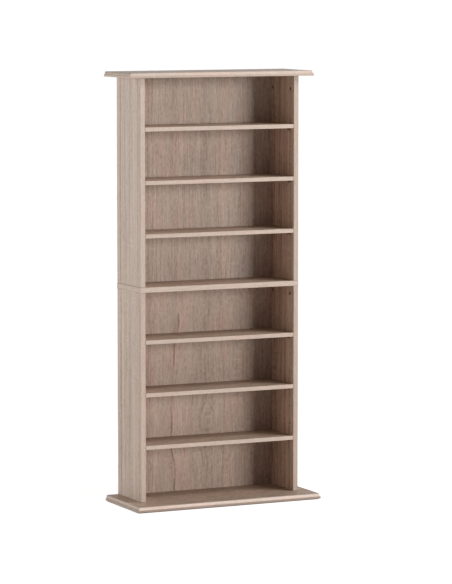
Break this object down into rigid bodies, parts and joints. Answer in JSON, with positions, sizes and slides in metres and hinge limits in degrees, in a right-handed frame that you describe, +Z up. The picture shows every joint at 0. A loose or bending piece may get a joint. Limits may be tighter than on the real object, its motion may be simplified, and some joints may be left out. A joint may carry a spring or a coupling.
{
  "type": "cd dvd storage tower",
  "caption": "Tall open disc tower: stacked carcass halves, moulded top and base boards, loose shelves on pegs, grooved-in back panels.",
  "frame": {"origin": "on the floor, under the middle of the base board's outline", "axes": "+Z up, the open front towards -Y, +X to the right of someone facing the back from the front"},
  "size_m": [0.585, 0.24, 1.256],
  "materials": {
    "oak_foil": "satin light oak foil on chipboard",
    "back_panel_foil": "satin light oak foil on thin fibreboard, plain brown behind",
    "peg_plastic": "moulded brown plastic",
    "cam_zinc": "dull zinc casting",
    "screw_steel": "bright plated steel",
    "glide_plastic": "moulded plastic"
  },
  "bodies": {
    "carcass": {"base_board": "oak_foil", "middle_board": "oak_foil", "top_board": "oak_foil", "lower_left_side": "oak_foil", "lower_right_side": "oak_foil", "upper_left_side": "oak_foil", "upper_right_side": "oak_foil", "lower_back_panel": "back_panel_foil", "upper_back_panel": "back_panel_foil", "lower_shelf_1_peg_front_left": "peg_plastic", "lower_shelf_1_peg_rear_left": "peg_plastic", "lower_shelf_1_peg_front_right": "peg_plastic", "lower_shelf_1_peg_rear_right": "peg_plastic", "lower_shelf_2_peg_front_left": "peg_plastic", "lower_shelf_2_peg_rear_left": "peg_plastic", "lower_shelf_2_peg_front_right": "peg_plastic", "lower_shelf_2_peg_rear_right": "peg_plastic", "lower_shelf_3_peg_front_left": "peg_plastic", "lower_shelf_3_peg_rear_left": "peg_plastic", "lower_shelf_3_peg_front_right": "peg_plastic", "lower_shelf_3_peg_rear_right": "peg_plastic", "upper_shelf_1_peg_front_left": "peg_plastic", "upper_shelf_1_peg_rear_left": "peg_plastic", "upper_shelf_1_peg_front_right": "peg_plastic", "upper_shelf_1_peg_rear_right": "peg_plastic", "upper_shelf_2_peg_front_left": "peg_plastic", "upper_shelf_2_peg_rear_left": "peg_plastic", "upper_shelf_2_peg_front_right": "peg_plastic", "upper_shelf_2_peg_rear_right": "peg_plastic", "upper_shelf_3_peg_front_left": "peg_plastic", "upper_shelf_3_peg_rear_left": "peg_plastic", "upper_shelf_3_peg_front_right": "peg_plastic", "upper_shelf_3_peg_rear_right": "peg_plastic", "lower_left_cam_front": "cam_zinc", "lower_left_cam_rear": "cam_zinc", "lower_right_cam_front": "cam_zinc", "lower_right_cam_rear": "cam_zinc", "upper_left_cam_front": "cam_zinc", "upper_left_cam_rear": "cam_zinc", "upper_right_cam_front": "cam_zinc", "upper_right_cam_rear": "cam_zinc", "base_screw_front_left": "screw_steel", "base_screw_rear_left": "screw_steel", "base_screw_front_right": "screw_steel", "base_screw_rear_right": "screw_steel", "middle_screw_front_left": "screw_steel", "middle_screw_rear_left": "screw_steel", "middle_screw_front_right": "screw_steel", "middle_screw_rear_right": "screw_steel", "glide_front_left": "glide_plastic", "glide_rear_left": "glide_plastic", "glide_front_right": "glide_plastic", "glide_rear_right": "glide_plastic"},
    "lower_shelf_1": {"lower_shelf_1": "oak_foil"},
    "lower_shelf_2": {"lower_shelf_2": "oak_foil"},
    "lower_shelf_3": {"lower_shelf_3": "oak_foil"},
    "upper_shelf_1": {"upper_shelf_1": "oak_foil"},
    "upper_shelf_2": {"upper_shelf_2": "oak_foil"},
    "upper_shelf_3": {"upper_shelf_3": "oak_foil"}
  },
  "joints": [
    {"name": "lower_shelf_1_slide", "type": "slide", "parent": "carcass", "child": "lower_shelf_1", "axis": [0, -1, 0], "range_m": [0, 0.15]},
    {"name": "lower_shelf_2_slide", "type": "slide", "parent": "carcass", "child": "lower_shelf_2", "axis": [0, -1, 0], "range_m": [0, 0.15]},
    {"name": "lower_shelf_3_slide", "type": "slide", "parent": "carcass", "child": "lower_shelf_3", "axis": [0, -1, 0], "range_m": [0, 0.15]},
    {"name": "upper_shelf_1_slide", "type": "slide", "parent": "carcass", "child": "upper_shelf_1", "axis": [0, -1, 0], "range_m": [0, 0.15]},
    {"name": "upper_shelf_2_slide", "type": "slide", "parent": "carcass", "child": "upper_shelf_2", "axis": [0, -1, 0], "range_m": [0, 0.15]},
    {"name": "upper_shelf_3_slide", "type": "slide", "parent": "carcass", "child": "upper_shelf_3", "axis": [0, -1, 0], "range_m": [0, 0.15]}
  ]
}
